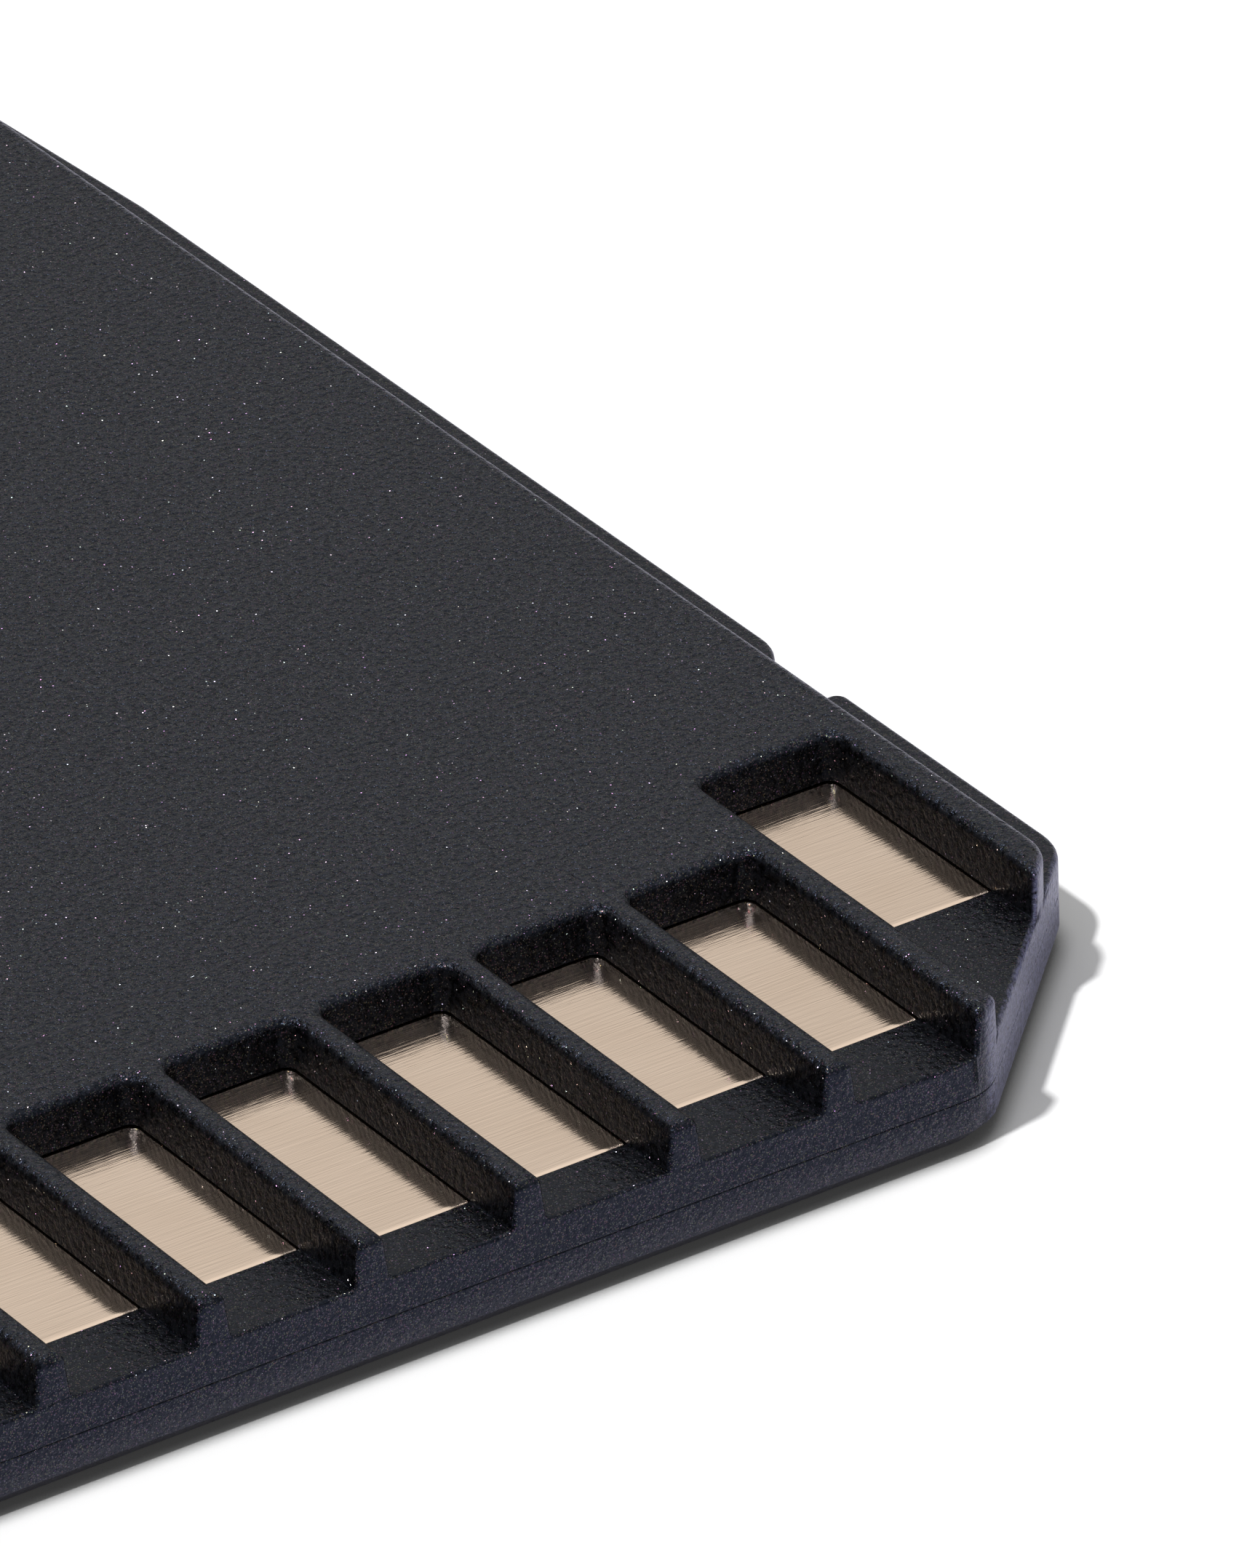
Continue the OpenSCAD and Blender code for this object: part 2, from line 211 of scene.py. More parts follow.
def spark_grained_polycarbonate(name, pit_shade_colour, crest_colour, drag_reflection_colour):
    """Glass-filled black polycarbonate moulded in a spark-eroded tool.

    Satin, with a fine pebble grain whose hollows are painted black as shade; the ends of the glass fibres in its
    skin glint where they face the lamp.
    The cut corner slid along the tool as it opened and is streaked with fibrous drag marks; their paler slate is a
    painted reflection of the bright floor at that grazing angle."""
    material, tree = new_material(name)
    place = millimetres(tree)
    # Pebbles of 0.1 mm; real ones are nearer 0.04 mm, too fine to show
    pebbles = add(tree, "ShaderNodeTexNoise", {"Vector": place, "Scale": PEBBLES, "Detail": 2.0, "Roughness": 0.55})
    crests = add(tree, "ShaderNodeMapRange", {"Value": pebbles.outputs[0], "From Min": 0.42, "From Max": 0.56})
    # A finer grain of 0.03 mm rides on the pebbles and breaks the lamp's reflection into points
    grit = add(tree, "ShaderNodeTexNoise", {"Vector": place, "Scale": GRIT, "Detail": 1.0})
    grit_height = add(tree, "ShaderNodeMath", {0: grit.outputs[0], 1: GRIT_HEIGHT}, operation="MULTIPLY")
    height = add(tree, "ShaderNodeMath", {0: pebbles.outputs[0], 1: PEBBLE_HEIGHT, 2: grit_height.outputs[0]},
                 operation="MULTIPLY_ADD")
    # The grain is deep on the broad face, and shallow, evener and painted darker as shade on walls, ledges, rails
    # and edges
    level = add(tree, "ShaderNodeSeparateXYZ", {0: place}).outputs["Z"]
    grain_depth_and_shade = add(tree, "ShaderNodeMapRange", {"Value": level, "From Min": DECK_GRAIN_FROM,
                                             "From Max": DECK_GRAIN_FULL, "To Min": SHALLOW_GRAIN_AND_SHADE})
    bump = add(tree, "ShaderNodeBump", {"Strength": grain_depth_and_shade.outputs[0], "Distance": MM, "Height": height.outputs[0]})
    # Painted shade: the hollows between pebbles take the black, and the lower faces more of it
    unshaded_crest_share = add(tree, "ShaderNodeMath", {0: crests.outputs[0], 1: grain_depth_and_shade.outputs[0]}, operation="MULTIPLY")
    tone = add(tree, "ShaderNodeMix", {"Factor": unshaded_crest_share.outputs[0], 6: linear(pit_shade_colour),
                                       7: linear(crest_colour)}, data_type="RGBA")
    # Drag marks lie level, 0.1 mm long and 0.05 mm high; only faces at the 45 degree cut have them, and their pale
    # slate is a painted reflection of the floor
    outward = add(tree, "ShaderNodeVectorMath", {0: place, 1: (1.0, -1.0, 0.0)}, operation="DOT_PRODUCT")
    at_cut = add(tree, "ShaderNodeMapRange", {"Value": outward.outputs["Value"], "From Min": CUT_LINE - 0.12,
                                              "From Max": CUT_LINE - 0.03})
    long_marks = add(tree, "ShaderNodeVectorMath", {0: place, 1: DRAG_MARKS}, operation="MULTIPLY")
    marks = add(tree, "ShaderNodeTexNoise", {"Vector": long_marks.outputs[0], "Scale": 1.0, "Detail": 4.0,
                                             "Roughness": 0.75})
    scuffs = add(tree, "ShaderNodeMapRange", {"Value": marks.outputs[0], "From Min": 0.38, "From Max": 0.6})
    drag_mark_reflection = add(tree, "ShaderNodeMath", {0: at_cut.outputs[0], 1: scuffs.outputs[0]}, operation="MULTIPLY")
    # The slate is a painted reflection of the bright floor, which the cut corner meets at a grazing angle
    worn_and_reflected_tone = add(tree, "ShaderNodeMix", {"Factor": drag_mark_reflection.outputs[0], 6: tone.outputs[2],
                                            7: linear(drag_reflection_colour)}, data_type="RGBA")
    skin = add(tree, "ShaderNodeBsdfPrincipled", {
        "Base Color": worn_and_reflected_tone.outputs[2], "Roughness": 0.3, "Specular IOR Level": 0.31,
        "Specular Tint": linear("#b9c9ee"), "Normal": bump.outputs[0]})
    # Fibre ends of 0.02 mm, each a small mirror tilted its own way; half of the cells hold one
    cells = add(tree, "ShaderNodeTexVoronoi", {"Vector": place, "Scale": FIBRES})
    spread = add(tree, "ShaderNodeVectorMath", {0: cells.outputs["Color"], 1: (0.5, 0.5, 0.5)}, operation="SUBTRACT")
    facing = add(tree, "ShaderNodeNewGeometry").outputs["Normal"]
    picks = add(tree, "ShaderNodeTexWhiteNoise", {"Vector": cells.outputs["Position"]}, noise_dimensions="3D")
    lot = add(tree, "ShaderNodeSeparateXYZ", {0: picks.outputs["Color"]}).outputs["Z"]
    lean = add(tree, "ShaderNodeMapRange", {"Value": lot, "To Min": 0.3, "To Max": 1.5})
    tilt = add(tree, "ShaderNodeVectorMath", {0: spread.outputs[0], "Scale": lean.outputs[0]}, operation="SCALE")
    leaning = add(tree, "ShaderNodeVectorMath", {0: facing, 1: tilt.outputs[0]}, operation="ADD")
    glint_normal = add(tree, "ShaderNodeVectorMath", {0: leaning.outputs[0]}, operation="NORMALIZE")
    pale = add(tree, "ShaderNodeMix", {0: 0.6, 6: (1, 1, 1, 1), 7: picks.outputs["Color"]}, data_type="RGBA")
    glint = add(tree, "ShaderNodeBsdfAnisotropic", {
        "Color": pale.outputs[2], "Roughness": 0.25, "Normal": glint_normal.outputs[0]})
    chosen = add(tree, "ShaderNodeMath", {0: picks.outputs["Value"], 1: 0.5}, operation="GREATER_THAN")
    middle = add(tree, "ShaderNodeMath", {0: cells.outputs["Distance"], 1: FIBRE_REACH}, operation="LESS_THAN")
    mask = add(tree, "ShaderNodeMath", {0: chosen.outputs[0], 1: middle.outputs[0]}, operation="MULTIPLY")
    share = add(tree, "ShaderNodeMath", {0: mask.outputs[0], 1: GLINT_SHARE}, operation="MULTIPLY")
    surface = add(tree, "ShaderNodeMixShader", {0: share.outputs[0], 1: skin.outputs[0], 2: glint.outputs[0]})
    finish_material(tree, surface.outputs[0])
    return material


def plated_strip(name, colour, lighter, climb):
    """Rolled bronze or copper, plated thinly with gold: bright metal with fine rolling lines across the card."""
    material, tree = new_material(name)
    place = millimetres(tree)
    # Lines about 0.04 mm wide and a millimetre long; the finest are drawn coarser than they are, to show
    stretched = add(tree, "ShaderNodeVectorMath", {0: place, 1: ROLLING_LINES}, operation="MULTIPLY")
    lines = add(tree, "ShaderNodeTexNoise", {"Vector": stretched.outputs[0], "Scale": 1.0, "Detail": 2.0,
                                             "Roughness": 0.7})
    rearward = add(tree, "ShaderNodeSeparateXYZ", {0: place}).outputs["Y"]
    ripple = add(tree, "ShaderNodeMath", {0: lines.outputs[0], 1: LINE_HEIGHT}, operation="MULTIPLY")
    # A sprung strip climbs a little towards its rear end
    relief = add(tree, "ShaderNodeMath", {0: rearward, 1: climb, 2: ripple.outputs[0]}, operation="MULTIPLY_ADD")
    bump = add(tree, "ShaderNodeBump", {"Strength": 1.0, "Distance": MM, "Height": relief.outputs[0]})
    # A faint tarnish in clouds of a millimetre
    tarnish = add(tree, "ShaderNodeTexNoise", {"Vector": place, "Scale": 0.9, "Detail": 3.0})
    tone = add(tree, "ShaderNodeMix", {"Factor": tarnish.outputs[0], 6: linear(colour), 7: linear(lighter)},
               data_type="RGBA")
    surface = add(tree, "ShaderNodeBsdfPrincipled", {
        "Base Color": tone.outputs[2], "Metallic": 1.0, "Roughness": 0.12, "Normal": bump.outputs[0]})
    finish_material(tree, surface.outputs[0])
    return material


def plain_moulding(name, colour, roughness):
    """Acetal or epoxy moulded in a plain tool: one even colour, half matt, with a faint grain of 0.07 mm."""
    material, tree = new_material(name)
    place = millimetres(tree)
    grain = add(tree, "ShaderNodeTexNoise", {"Vector": place, "Scale": 14.0, "Detail": 2.0})
    bump = add(tree, "ShaderNodeBump", {"Strength": 0.2, "Distance": 0.00001, "Height": grain.outputs[0]})
    surface = add(tree, "ShaderNodeBsdfPrincipled", {
        "Base Color": linear(colour), "Roughness": roughness, "Specular IOR Level": 0.4, "Normal": bump.outputs[0]})
    finish_material(tree, surface.outputs[0])
    return material


def cad_form(node):
    """The solid's mesh in millimetres, its loose triangles joined and its flat faces made whole."""
    form = bmesh.new()
    form.from_mesh(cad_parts[node].data)
    bmesh.ops.scale(form, vec=(1 / MM,) * 3, verts=form.verts)
    bmesh.ops.remove_doubles(form, verts=form.verts, dist=TRIANGLE_WELD)
    bmesh.ops.dissolve_limit(form, angle_limit=FLAT_ANGLE, verts=form.verts, edges=form.edges)
    form.normal_update()
    return form


def as_piece(form, name, node, body, material):
    """The finished form in metres, smooth up to its sharp edges, in place of its CAD node."""
    bmesh.ops.scale(form, vec=(MM,) * 3, verts=form.verts)
    mesh = bpy.data.meshes.new(name)
    for face in form.faces:
        face.smooth = True
    form.to_mesh(mesh)
    form.free()
    mesh.set_sharp_from_angle(angle=SHARP_ANGLE)
    mesh.materials.append(material)
    piece = bpy.data.objects.new(name, mesh)
    bpy.context.scene.collection.objects.link(piece)
    normals = piece.modifiers.new("even shading", "WEIGHTED_NORMAL")
    normals.keep_sharp = True
    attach(piece, body)
    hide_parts(node)


def flat(vector):
    return Vector((vector.x, vector.y))


def key_of(place):
    return tuple(round(c, 3) for c in place)


def turn_between(before, after):
    """Signed turn from one flat direction to the next, positive to the left."""
    return math.atan2(before.x * after.y - before.y * after.x, before.dot(after))


def left_of(way):
    return Vector((-way.y, way.x))


def shifted_corner(place, before, after, shift_before, shift_after):
    """Where two lines meet once each has moved to its left by its own distance."""
    n1, n2 = left_of(before), left_of(after)
    det = n1.x * n2.y - n1.y * n2.x
    if abs(det) < PARALLEL:
        return place + (n1 + n2).normalized() * (shift_before + shift_after) / 2
    return place + Vector((shift_before * n2.y - shift_after * n1.y, shift_after * n1.x - shift_before * n2.x)) / det


def walk_loop(form):
    """The open boundary of the form, as vertices in counter-clockwise order."""
    edge = next(e for e in form.edges if e.is_boundary)
    loop = [edge.verts[0]]
    vert = edge.verts[1]
    while vert is not loop[0]:
        loop.append(vert)
        edge = next(e for e in vert.link_edges if e.is_boundary and e is not edge)
        vert = edge.other_vert(vert)
    area = sum(a.co.x * b.co.y - b.co.x * a.co.y for a, b in zip(loop, loop[1:] + loop[:1]))
    return loop if area > 0 else loop[::-1]


def take_off_relief(form):
    """Cut the moulding at rail height and take off what stands above; tell which foot edges had draft."""
    bmesh.ops.bisect_plane(form, geom=form.verts[:] + form.edges[:] + form.faces[:], dist=BISECT_NEAR,
                           plane_co=(0, 0, RAIL_TOP), plane_no=(0, 0, 1))
    raised = dict.fromkeys(f for f in form.faces if max(v.co.z for v in f.verts) > RAIL_TOP + AT_HEIGHT)
    lean = {}
    for edge in form.edges:
        above = [f for f in edge.link_faces if f in raised]
        if len(above) == 1 and max(abs(v.co.z - RAIL_TOP) for v in edge.verts) < AT_HEIGHT:
            lean[frozenset(key_of(v.co) for v in edge.verts)] = above[0].normal.z > LEANING
    bmesh.ops.delete(form, geom=list(raised), context="FACES")
    return lean


def refine_arcs(form, lean):
    """Halve each short edge of the foot line that belongs to an arc and push its middle out to the arc."""
    loop = walk_loop(form)
    count = len(loop)
    way = [flat(loop[(i + 1) % count].co) - flat(loop[i].co) for i in range(count)]
    turn = [turn_between(way[i - 1].normalized(), way[i].normalized()) for i in range(count)]
    for i in range(count):
        a, b = loop[i], loop[(i + 1) % count]
        small, large = sorted((turn[i], turn[(i + 1) % count]), key=abs)
        sharpest = CORNER_TURN if large > 0 else ARC_TURN
        if way[i].length > LONGEST_ARC_EDGE or abs(small) < STRAIGHT or abs(large) > sharpest or small * large < 0:
            continue
        out = -left_of(way[i]).normalized()
        middle = (flat(a.co) + flat(b.co)) / 2 + out * way[i].length / 2 * math.tan(large / 4)
        leans = lean[frozenset((key_of(a.co), key_of(b.co)))]
        _, vert = bmesh.utils.edge_split(form.edges.get((a, b)), a, 0.5)
        vert.co = Vector((middle.x, middle.y, a.co.z))
        lean[frozenset((key_of(a.co), key_of(vert.co)))] = leans
        lean[frozenset((key_of(b.co), key_of(vert.co)))] = leans


def round_edges(form, edges, radius_of, fixed, level):
    """Round edges between level and upright faces; level is 1 for a top face and -1 for an underside.

    The radius dies away towards the fixed vertices. Edges and vertices are kept in order, so that each run
    makes the same mesh."""
    edges = dict.fromkeys(edges)
    full = set()
    for vert in fixed:
        foot = [(e.other_vert(vert).co - vert.co).normalized() for e in vert.link_edges if e.is_boundary]
        for edge in [e for e in vert.link_edges if e in edges and e.calc_length() > 4 * TAPER]:
            way = (edge.other_vert(vert).co - vert.co).normalized()
            acute = max(way.dot(other) for other in foot) > 0.5
            taper = ACUTE_TAPER if acute else TAPER
            new_edge, new_vert = bmesh.utils.edge_split(edge, vert, taper / edge.calc_length())
            edges[new_edge] = None
            if not acute:
                full.add(new_vert)
    form.normal_update()
    inward, radius = {}, {}
    for edge in edges:
        side = min(edge.link_faces, key=lambda f: abs(f.normal.z))
        for vert in edge.verts:
            inward.setdefault(vert, []).append(-flat(side.normal).normalized())
            radius[vert] = 0.0 if vert in fixed else radius_of(vert.co)
    rings = {}
    for vert, ways in inward.items():
        mitre = (ways[0] + ways[-1]).normalized()
        mitre /= max(LEAST_MITRE, mitre.dot(ways[0]))
        nearest = min(((p.co - vert.co).length for p in fixed if p is not vert), default=FAR_OFF)
        size = radius[vert] if vert in full else min(radius[vert], RING_SHARE * nearest)
        ring = []
        for step in range(ROUND_STEPS + 1):
            angle = math.radians(90 * step / ROUND_STEPS)
            out = mitre * size * (1 - math.cos(angle))
            drop = size * (1 - math.sin(angle))
            ring.append((vert.co.x + out.x, vert.co.y + out.y, vert.co.z - level * drop))
        rings[key_of(vert.co)] = ring
    runs = [tuple(key_of(v.co) for v in e.verts) for e in edges]
    bmesh.ops.split_edges(form, edges=list(edges))
    form.normal_update()
    for vert in list(form.verts):
        ring = rings.get(key_of(vert.co))
        if ring:
            is_level = any(f.normal.z * level > LEVEL for f in vert.link_faces)
            vert.co = ring[-1 if is_level else 0]
    made = {key: [form.verts.new(p) for p in ring] for key, ring in rings.items()}
    for a, b in runs:
        for step in range(ROUND_STEPS):
            form.faces.new((made[a][step], made[b][step], made[b][step + 1], made[a][step + 1]))
    bmesh.ops.remove_doubles(form, verts=form.verts, dist=RING_WELD)
    bmesh.ops.dissolve_degenerate(form, edges=form.edges, dist=SEAM_WELD)
    form.normal_update()


def relief_ring(loop, leans, wall_inset, round_inset, corner_radius, spans):
    """One level of the raised part: per foot vertex a list of flat points, several where a corner is rounded."""
    count = len(loop)
    places = [flat(v.co) for v in loop]
    way = [(places[(i + 1) % count] - places[i]).normalized() for i in range(count)]
    length = [(places[(i + 1) % count] - places[i]).length for i in range(count)]
    shift = [(wall_inset if leans[i] else 0.0) + round_inset for i in range(count)]
    points = [[shifted_corner(places[i], way[i - 1], way[i], shift[i - 1], shift[i])] for i in range(count)]
    pull = [Vector((0, 0)) for _ in range(count)]
    fans = {}
    for i in range(count):
        turn = turn_between(way[i - 1], way[i])
        if turn < CORNER_TURN:
            continue
        corner = points[i][0]
        radius = corner_radius if turn < HOOK_TURN else HOOK_SHARE * corner_radius
        reach = radius * math.tan(turn / 2)
        start = corner - way[i - 1] * reach
        centre = start + left_of(way[i - 1]) * radius
        fan = []
        for step in range(FAN_STEPS + 1):
            angle = turn * step / FAN_STEPS
            spoke = -left_of(way[i - 1]) * radius
            fan.append(centre + Vector((spoke.x * math.cos(angle) - spoke.y * math.sin(angle),
                                        spoke.x * math.sin(angle) + spoke.y * math.cos(angle))))
        fans[i] = fan
        for onward in (1, -1):
            side = i if onward == 1 else i - 1
            tangent = fan[-1] if onward == 1 else fan[0]
            drift = tangent - (places[i] + left_of(way[side]) * shift[side])
            span = spans[i][0 if onward == 1 else 1]
            walked, j = 0.0, i
            while True:
                walked += length[j % count] if onward == 1 else length[(j - 1) % count]
                j = (j + onward) % count
                if walked >= span - 0.001 or j == i:
                    break
                along = way[j] if onward == 1 else -way[j - 1]
                pull[j] += along * drift.dot(way[side] * onward) * (1 - walked / span)
    for i in range(count):
        points[i] = fans[i] if i in fans else [points[i][0] + pull[i]]
    return points


def corner_spans(loop, leans):
    """For each sharp corner the lengths of foot line ahead and behind that give way when it moves."""
    count = len(loop)
    places = [flat(v.co) for v in loop]
    way = [(places[(i + 1) % count] - places[i]).normalized() for i in range(count)]
    length = [(places[(i + 1) % count] - places[i]).length for i in range(count)]
    sharp = [i for i in range(count) if turn_between(way[i - 1], way[i]) >= CORNER_TURN]
    spans = {}
    for i in sharp:
        wide = HOOK_SPAN if turn_between(way[i - 1], way[i]) > HOOK_TURN else CORNER_SPAN
        ahead, j = 0.0, i
        while ahead < wide:
            ahead += length[j]
            j = (j + 1) % count
            if j in sharp:
                break
        behind, j = 0.0, i
        while behind < wide:
            behind += length[j - 1]
            j = (j - 1) % count
            if j in sharp:
                break
        spans[i] = (min(ahead, wide), min(behind, wide))
    return spans


def raise_relief(form, lean):
    """Build the deck, ribs and window walls up from the foot line, ring by ring, with rounded top edges."""
    loop = walk_loop(form)
    count = len(loop)
    leans = [lean[frozenset((key_of(loop[i].co), key_of(loop[(i + 1) % count].co)))] for i in range(count)]
    spans = corner_spans(loop, leans)
    height = THICKNESS - RAIL_TOP
    wall_height = height - TOP_ROUND
    levels = [(FOOT, FOOT * DRAFT / height, 0.0), (wall_height, wall_height * DRAFT / height, 0.0)]
    for step in range(1, TOP_STEPS + 1):
        angle = math.radians(90 * step / TOP_STEPS)
        levels.append((wall_height + TOP_ROUND * math.sin(angle), wall_height * DRAFT / height,
                       TOP_ROUND * (1 - math.cos(angle))))
    below = [[v] for v in loop]
    for rise, wall_inset, round_inset in levels:
        radius = max(LEAST_CORNER, CORNER_ROUND - CORNER_SHRINK * round_inset)
        ring = relief_ring(loop, leans, wall_inset, round_inset, radius, spans)
        made = [[form.verts.new((p.x, p.y, RAIL_TOP + rise)) for p in points] for points in ring]
        for i in range(count):
            j = (i + 1) % count
            form.faces.new((below[i][-1], below[j][0], made[j][0], made[i][-1]))
            for step in range(len(made[i]) - 1):
                lower = below[i] if len(below[i]) > 1 else below[i] * (FAN_STEPS + 1)
                corners = [lower[step], lower[step + 1], made[i][step + 1], made[i][step]]
                form.faces.new(list(dict.fromkeys(corners)))
        below = made
    rim = [v for points in below for v in points]
    for corners in tessellate_polygon([[v.co for v in rim]]):
        form.faces.new([rim[c] for c in corners])


def level_edges(form, z, level):
    """The convex edges at this height between a level face and an upright one."""
    return [e for e in form.edges if len(e.link_faces) == 2 and max(abs(v.co.z - z) for v in e.verts) < AT_HEIGHT
            and max(f.normal.z * level for f in e.link_faces) > LEVEL
            and min(abs(f.normal.z) for f in e.link_faces) < UPRIGHT and e.is_convex]


def contact_side_moulding(material):
    """The upper shell: its raised part is taken off at rail height and built again with rounded edges."""
    form = cad_form("contact_side_shell")
    lean = take_off_relief(form)
    for _ in range(2):
        refine_arcs(form, lean)
    form.normal_update()
    fixed = dict.fromkeys(walk_loop(form))

    def rail_radius(place):
        if (place.x - place.y < CUT_LINE - INSIDE and place.y > INSIDE - HALF_LENGTH
                and abs(place.x) < DECK_SIDE - BESIDE_DECK):
            return LEDGE_ROUND
        return FRONT_ROUND if place.y < AT_FRONT - HALF_LENGTH else RAIL_ROUND

    round_edges(form, level_edges(form, RAIL_TOP, 1), rail_radius, fixed, 1)
    round_edges(form, level_edges(form, PARTING, -1), lambda place: PARTING_ROUND, (), -1)
    raise_relief(form, lean)
    bmesh.ops.remove_doubles(form, verts=form.verts, dist=SEAM_WELD)
    bmesh.ops.dissolve_degenerate(form, edges=form.edges, dist=SEAM_WELD / 2)
    bmesh.ops.delete(form, geom=[e for e in form.edges if e.is_wire], context="EDGES")
    bmesh.ops.recalc_face_normals(form, faces=form.faces)
    as_piece(form, "contact_side_moulding", "contact_side_shell", "adapter", material)


def label_side_moulding(material):
    """The lower shell, its upper edge eased at the parting line."""
    form = cad_form("label_side_shell")
    round_edges(form, level_edges(form, PARTING, 1), lambda place: PARTING_ROUND, (), 1)
    bmesh.ops.recalc_face_normals(form, faces=form.faces)
    as_piece(form, "label_side_moulding", "label_side_shell", "adapter", material)


def contact_strip_piece(number, material):
    """The strip with its front bend set tighter, as a stamped bend looks on its outside."""
    form = cad_form(f"contact_strip_{number}")
    top = max(v.co.z for v in form.verts)
    front = min(v.co.y for v in form.verts)
    for vert in form.verts:
        ahead = (front + BEND_RADIUS - vert.co.y) / BEND_RADIUS
        above = (vert.co.z - top + BEND_RADIUS) / BEND_RADIUS
        if ahead > ARC_FROM and above > ARC_FROM and abs(math.hypot(ahead, above) - 1) < ARC_NEAR:
            push = (ahead ** BEND_SHARPNESS + above ** BEND_SHARPNESS) ** (-1 / BEND_SHARPNESS)
            vert.co.y = front + BEND_RADIUS * (1 - ahead * push)
            vert.co.z = top - BEND_RADIUS * (1 - above * push)
    as_piece(form, f"plated_strip_{number}", f"contact_strip_{number}", "adapter", material)


def gold_pad_row(material):
    """The small card's eight pads: one rounded pad, its rim eased, set in a row by Geometry Nodes."""
    tree = bpy.data.node_groups.new("row of gold pads", "GeometryNodeTree")
    tree.interface.new_socket("Geometry", in_out="OUTPUT", socket_type="NodeSocketGeometry")
    corners = [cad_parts[f"microsd_pad_{number}"].data.vertices for number in PADS]
    spots = [[min(v.co[axis] for v in pad) for axis in range(3)] for pad in corners]
    far = [max(v.co[axis] for v in corners[0]) for axis in range(3)]
    width, length, thickness = (far[axis] - spots[0][axis] for axis in range(3))
    pitch = (max(s[0] for s in spots) - min(s[0] for s in spots)) / (len(spots) - 1)
    sizes = {"Pad width": width, "Pad length": length, "Pad thickness": thickness, "Pitch": pitch,
             "Corner radius": PAD_CORNER * MM, "Rim": PAD_RIM * MM}
    sockets = {label: tree.interface.new_socket(label, in_out="INPUT", socket_type="NodeSocketFloat")
               for label in sizes}
    sockets["Count"] = tree.interface.new_socket("Count", in_out="INPUT", socket_type="NodeSocketInt")
    given = add(tree, "NodeGroupInput").outputs
    outline = add(tree, "GeometryNodeCurvePrimitiveQuadrilateral",
                  {"Width": given["Pad width"], "Height": given["Pad length"]})
    rounded = add(tree, "GeometryNodeFilletCurve", {"Curve": outline.outputs[0], "Radius": given["Corner radius"]})
    set_choice(rounded, "Mode", "mode", "POLY")
    rounded.inputs["Count"].default_value = PAD_CORNER_POINTS
    sheet = add(tree, "GeometryNodeFillCurve", {"Curve": rounded.outputs[0]})
    set_choice(sheet, "Mode", "mode", "NGONS")
    upright = add(tree, "ShaderNodeMath", {0: given["Pad thickness"], 1: given["Rim"]}, operation="SUBTRACT")
    block = add(tree, "GeometryNodeExtrudeMesh", {"Mesh": sheet.outputs[0], "Offset Scale": upright.outputs[0],
                                                  "Individual": False})
    crown = add(tree, "GeometryNodeExtrudeMesh", {"Mesh": block.outputs["Mesh"], "Selection": block.outputs["Top"],
                                                  "Offset Scale": given["Rim"], "Individual": False})
    inset = add(tree, "ShaderNodeMath", {0: given["Rim"], 1: given["Pad width"]}, operation="DIVIDE")
    shrink = add(tree, "ShaderNodeMath", {0: inset.outputs[0], 1: -2.0, 2: 1.0}, operation="MULTIPLY_ADD")
    eased = add(tree, "GeometryNodeScaleElements", {"Geometry": crown.outputs["Mesh"],
                                                    "Selection": crown.outputs["Top"], "Scale": shrink.outputs[0]})
    underside = add(tree, "GeometryNodeFlipFaces", {"Mesh": sheet.outputs[0]})
    closed = add(tree, "GeometryNodeJoinGeometry", {"Geometry": eased.outputs[0]})
    tree.links.new(underside.outputs[0], closed.inputs[0])
    merged = add(tree, "GeometryNodeMergeByDistance", {"Geometry": closed.outputs[0], "Distance": PAD_WELD * MM})
    step = add(tree, "ShaderNodeCombineXYZ", {"X": given["Pitch"]})
    row = add(tree, "GeometryNodeMeshLine", {"Count": given["Count"], "Offset": step.outputs[0]})
    placed = add(tree, "GeometryNodeInstanceOnPoints", {"Points": row.outputs[0], "Instance": merged.outputs[0]})
    real = add(tree, "GeometryNodeRealizeInstances", {"Geometry": placed.outputs[0]})
    finished = add(tree, "GeometryNodeSetMaterial", {"Geometry": real.outputs[0], "Material": material})
    add(tree, "NodeGroupOutput", {"Geometry": finished.outputs[0]})

    holder = bpy.data.objects.new("pad row holder", bpy.data.meshes.new("pad row holder"))
    bpy.context.scene.collection.objects.link(holder)
    modifier = holder.modifiers.new("row of gold pads", "NODES")
    modifier.node_group = tree
    for label, size in sizes.items():
        modifier[sockets[label].identifier] = size
    modifier[sockets["Count"].identifier] = len(spots)
    bpy.context.view_layer.update()
    evaluated = holder.evaluated_get(bpy.context.evaluated_depsgraph_get())
    mesh = bpy.data.meshes.new_from_object(evaluated)
    bpy.data.objects.remove(holder)
    first = Vector(min(spots)) + Vector((width / 2, length / 2, 0))
    mesh.transform(Matrix.Translation(first))
    mesh.name = "gold_pad_row"
    piece = bpy.data.objects.new("gold_pad_row", mesh)
    bpy.context.scene.collection.objects.link(piece)
    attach(piece, "microsd")
    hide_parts(*(f"microsd_pad_{number}" for number in PADS))


def paint(node, material):
    """Give a solid that keeps its own mesh this material."""
    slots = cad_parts[node].data.materials
    slots.clear()
    slots.append(material)


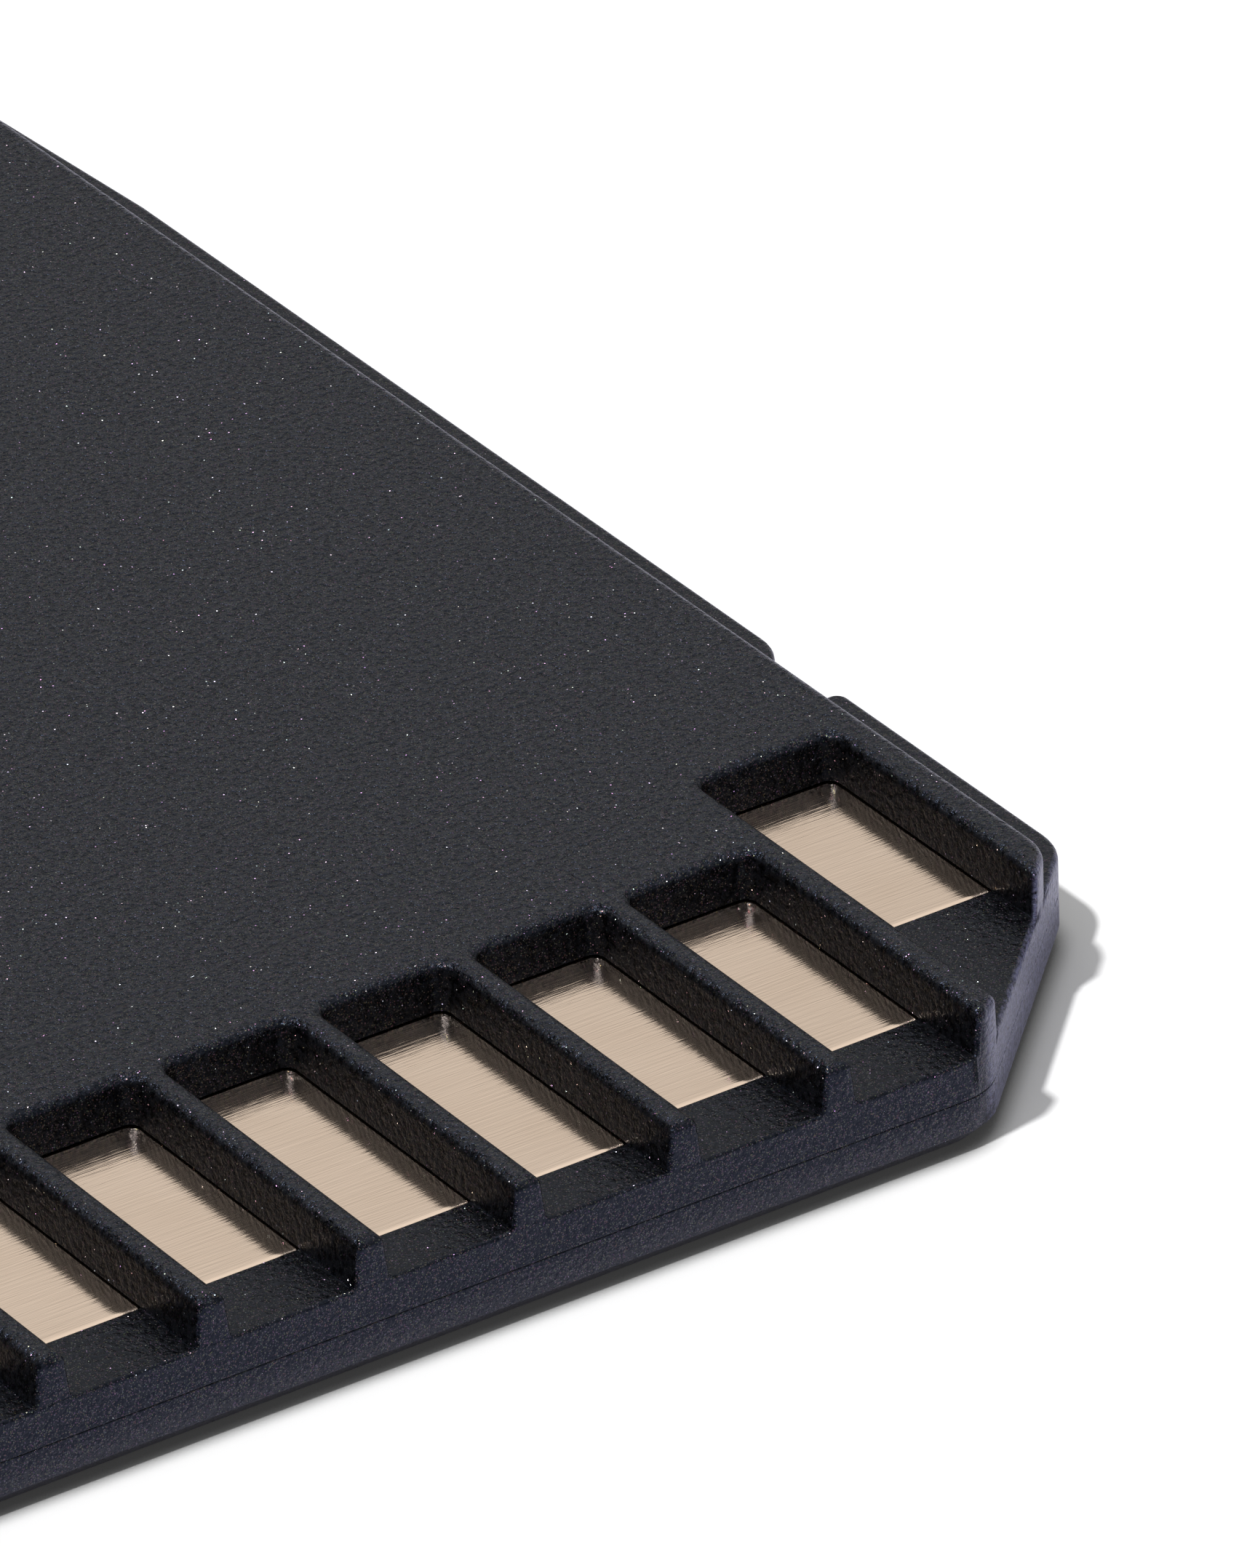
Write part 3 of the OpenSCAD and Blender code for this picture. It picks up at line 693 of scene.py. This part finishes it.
def set_camera():
    """The photograph's view, on its tall frame."""
    azimuth, elevation, roll = (math.radians(v) for v in (CAMERA_AZIMUTH, CAMERA_ELEVATION, CAMERA_ROLL))
    look = Vector((-math.sin(azimuth) * math.cos(elevation), math.cos(azimuth) * math.cos(elevation),
                   -math.sin(elevation)))
    level = Vector((math.cos(azimuth), math.sin(azimuth), 0))
    rise = level.cross(look)
    right = level * math.cos(roll) + rise * math.sin(roll)
    up = rise * math.cos(roll) - level * math.sin(roll)
    data = bpy.data.cameras.new("camera")
    data.sensor_fit = "VERTICAL"
    data.sensor_height = SENSOR_HEIGHT
    data.lens = FOCAL_PIXELS / PIXELS_HIGH * SENSOR_HEIGHT
    data.clip_start = NEAREST_SEEN
    data.clip_end = FARTHEST_SEEN
    camera = bpy.data.objects.new("camera", data)
    place = (Vector(CAMERA_AIM) - look * CAMERA_DISTANCE) * MM
    turn = Matrix((right, up, -look)).transposed().to_4x4()
    camera.matrix_world = Matrix.Translation(place) @ turn
    bpy.context.scene.collection.objects.link(camera)
    bpy.context.scene.camera = camera


def set_light():
    """One softbox from the left, high up, and an even pale surround that gloss mirrors as white."""
    sun = bpy.data.lights.new("softbox", "SUN")
    sun.energy = LAMP_STRENGTH
    sun.angle = math.radians(LAMP_WIDTH)
    lamp = bpy.data.objects.new("softbox", sun)
    lamp.rotation_euler = Vector(TOWARD_LAMP).to_track_quat("Z", "Y").to_euler()
    bpy.context.scene.collection.objects.link(lamp)
    world = bpy.data.worlds.new("surround")
    bpy.context.scene.world = world
    world.use_nodes = True
    tree = world.node_tree
    tree.nodes.clear()
    rays = add(tree, "ShaderNodeLightPath")
    direction = add(tree, "ShaderNodeTexCoord").outputs["Generated"]
    height = add(tree, "ShaderNodeSeparateXYZ", {0: direction}).outputs["Z"]
    mirrored = add(tree, "ShaderNodeValToRGB", {"Fac": height})
    stops = mirrored.color_ramp.elements
    for position, grey in ROOM_GREYS:
        stops.new(position).color = (grey, grey, grey, 1)
    stops[0].color = (HORIZON, HORIZON, HORIZON, 1)
    stops[-1].color = (1, 1, 1, 1)
    sideways = add(tree, "ShaderNodeSeparateXYZ", {0: direction}).outputs["X"]
    room = add(tree, "ShaderNodeMapRange", {"Value": sideways, "From Min": -0.45, "From Max": 0.1,
                                            "To Min": LEFT_OF_ROOM})
    mirror = add(tree, "ShaderNodeMath", {0: mirrored.outputs["Color"], 1: room.outputs[0]}, operation="MULTIPLY")
    lit = add(tree, "ShaderNodeMix", {0: rays.outputs["Is Glossy Ray"], 2: SURROUND, 3: mirror.outputs[0]})
    strength = add(tree, "ShaderNodeMix", {0: rays.outputs["Is Camera Ray"], 2: lit.outputs[0], 3: 1.0})
    shade = add(tree, "ShaderNodeBackground", {"Color": (1, 1, 1, 1), "Strength": strength.outputs[0]})
    add(tree, "ShaderNodeOutputWorld", {"Surface": shade.outputs[0]})


def set_floor():
    """A pale floor that the camera sees white, with the card's shadow and a painted contact shadow where the card
    touches it.
    """
    mesh = bpy.data.meshes.new("floor")
    far, low = FLOOR_REACH, -FLOOR_DROP
    mesh.from_pydata([(-far, -far, low), (far, -far, low), (far, far, low), (-far, far, low)], [], [(0, 1, 2, 3)])
    floor = bpy.data.objects.new("floor", mesh)
    bpy.context.scene.collection.objects.link(floor)
    material, tree = new_material("white_sweep")
    rays = add(tree, "ShaderNodeLightPath")
    # Painted contact shadow: the floor the camera sees darkens where the card hides the surround close by
    near = add(tree, "ShaderNodeAmbientOcclusion", {"Distance": CONTACT_SHADOW_REACH}, samples=8)
    contact = add(tree, "ShaderNodeMapRange", {"Value": near.outputs["AO"], "From Min": 0.4, "From Max": 0.8,
                                               "To Min": 0.08})
    # Gloss mirrors a cool paper; the camera sees it white
    paper_tone = add(tree, "ShaderNodeMix", {0: rays.outputs["Is Glossy Ray"], 6: (0.88, 0.88, 0.88, 1),
                                             7: (0.87, 0.86, 1.0, 1)}, data_type="RGBA")
    white = add(tree, "ShaderNodeMix", {0: rays.outputs["Is Camera Ray"], 6: paper_tone.outputs[2],
                                        7: contact.outputs[0]}, data_type="RGBA")
    paper = add(tree, "ShaderNodeBsdfDiffuse", {"Color": white.outputs[2]})
    lift = add(tree, "ShaderNodeMapRange", {"Value": rays.outputs["Is Camera Ray"], "To Max": 0.03})
    glow = add(tree, "ShaderNodeEmission", {"Color": (1, 1, 1, 1), "Strength": lift.outputs[0]})
    both = add(tree, "ShaderNodeAddShader", {0: paper.outputs[0], 1: glow.outputs[0]})
    finish_material(tree, both.outputs[0])
    mesh.materials.append(material)


# Pits painted black as shade, charcoal crests, and slate drag marks on the cut corner, painted as the floor's
# reflection
shell_plastic = spark_grained_polycarbonate("spark_grained_polycarbonate", "#000000", "#1b1c20", "#5d5d78")
# The thin gold leaves the strips a champagne colour; the small card's pads are yellower
strip_metal = plated_strip("champagne_plated_bronze", "#ead2bb", "#f5dec8", 0.07)
pad_metal = plated_strip("gold_plated_copper", "#d8ae62", "#e3bd77", 0.0)
# A pale grey slider and a small black card
slider_plastic = plain_moulding("moulded_grey_acetal", "#b4b6b8", 0.5)
card_plastic = plain_moulding("moulded_black_epoxy", "#1a1b1d", 0.45)

contact_side_moulding(shell_plastic)
label_side_moulding(shell_plastic)
for number in STRIPS:
    contact_strip_piece(number, strip_metal)
gold_pad_row(pad_metal)
paint("write_protect_slider", slider_plastic)
paint("microsd_body", card_plastic)

set_camera()
set_light()
set_floor()
bpy.context.scene.view_settings.view_transform = "Standard"
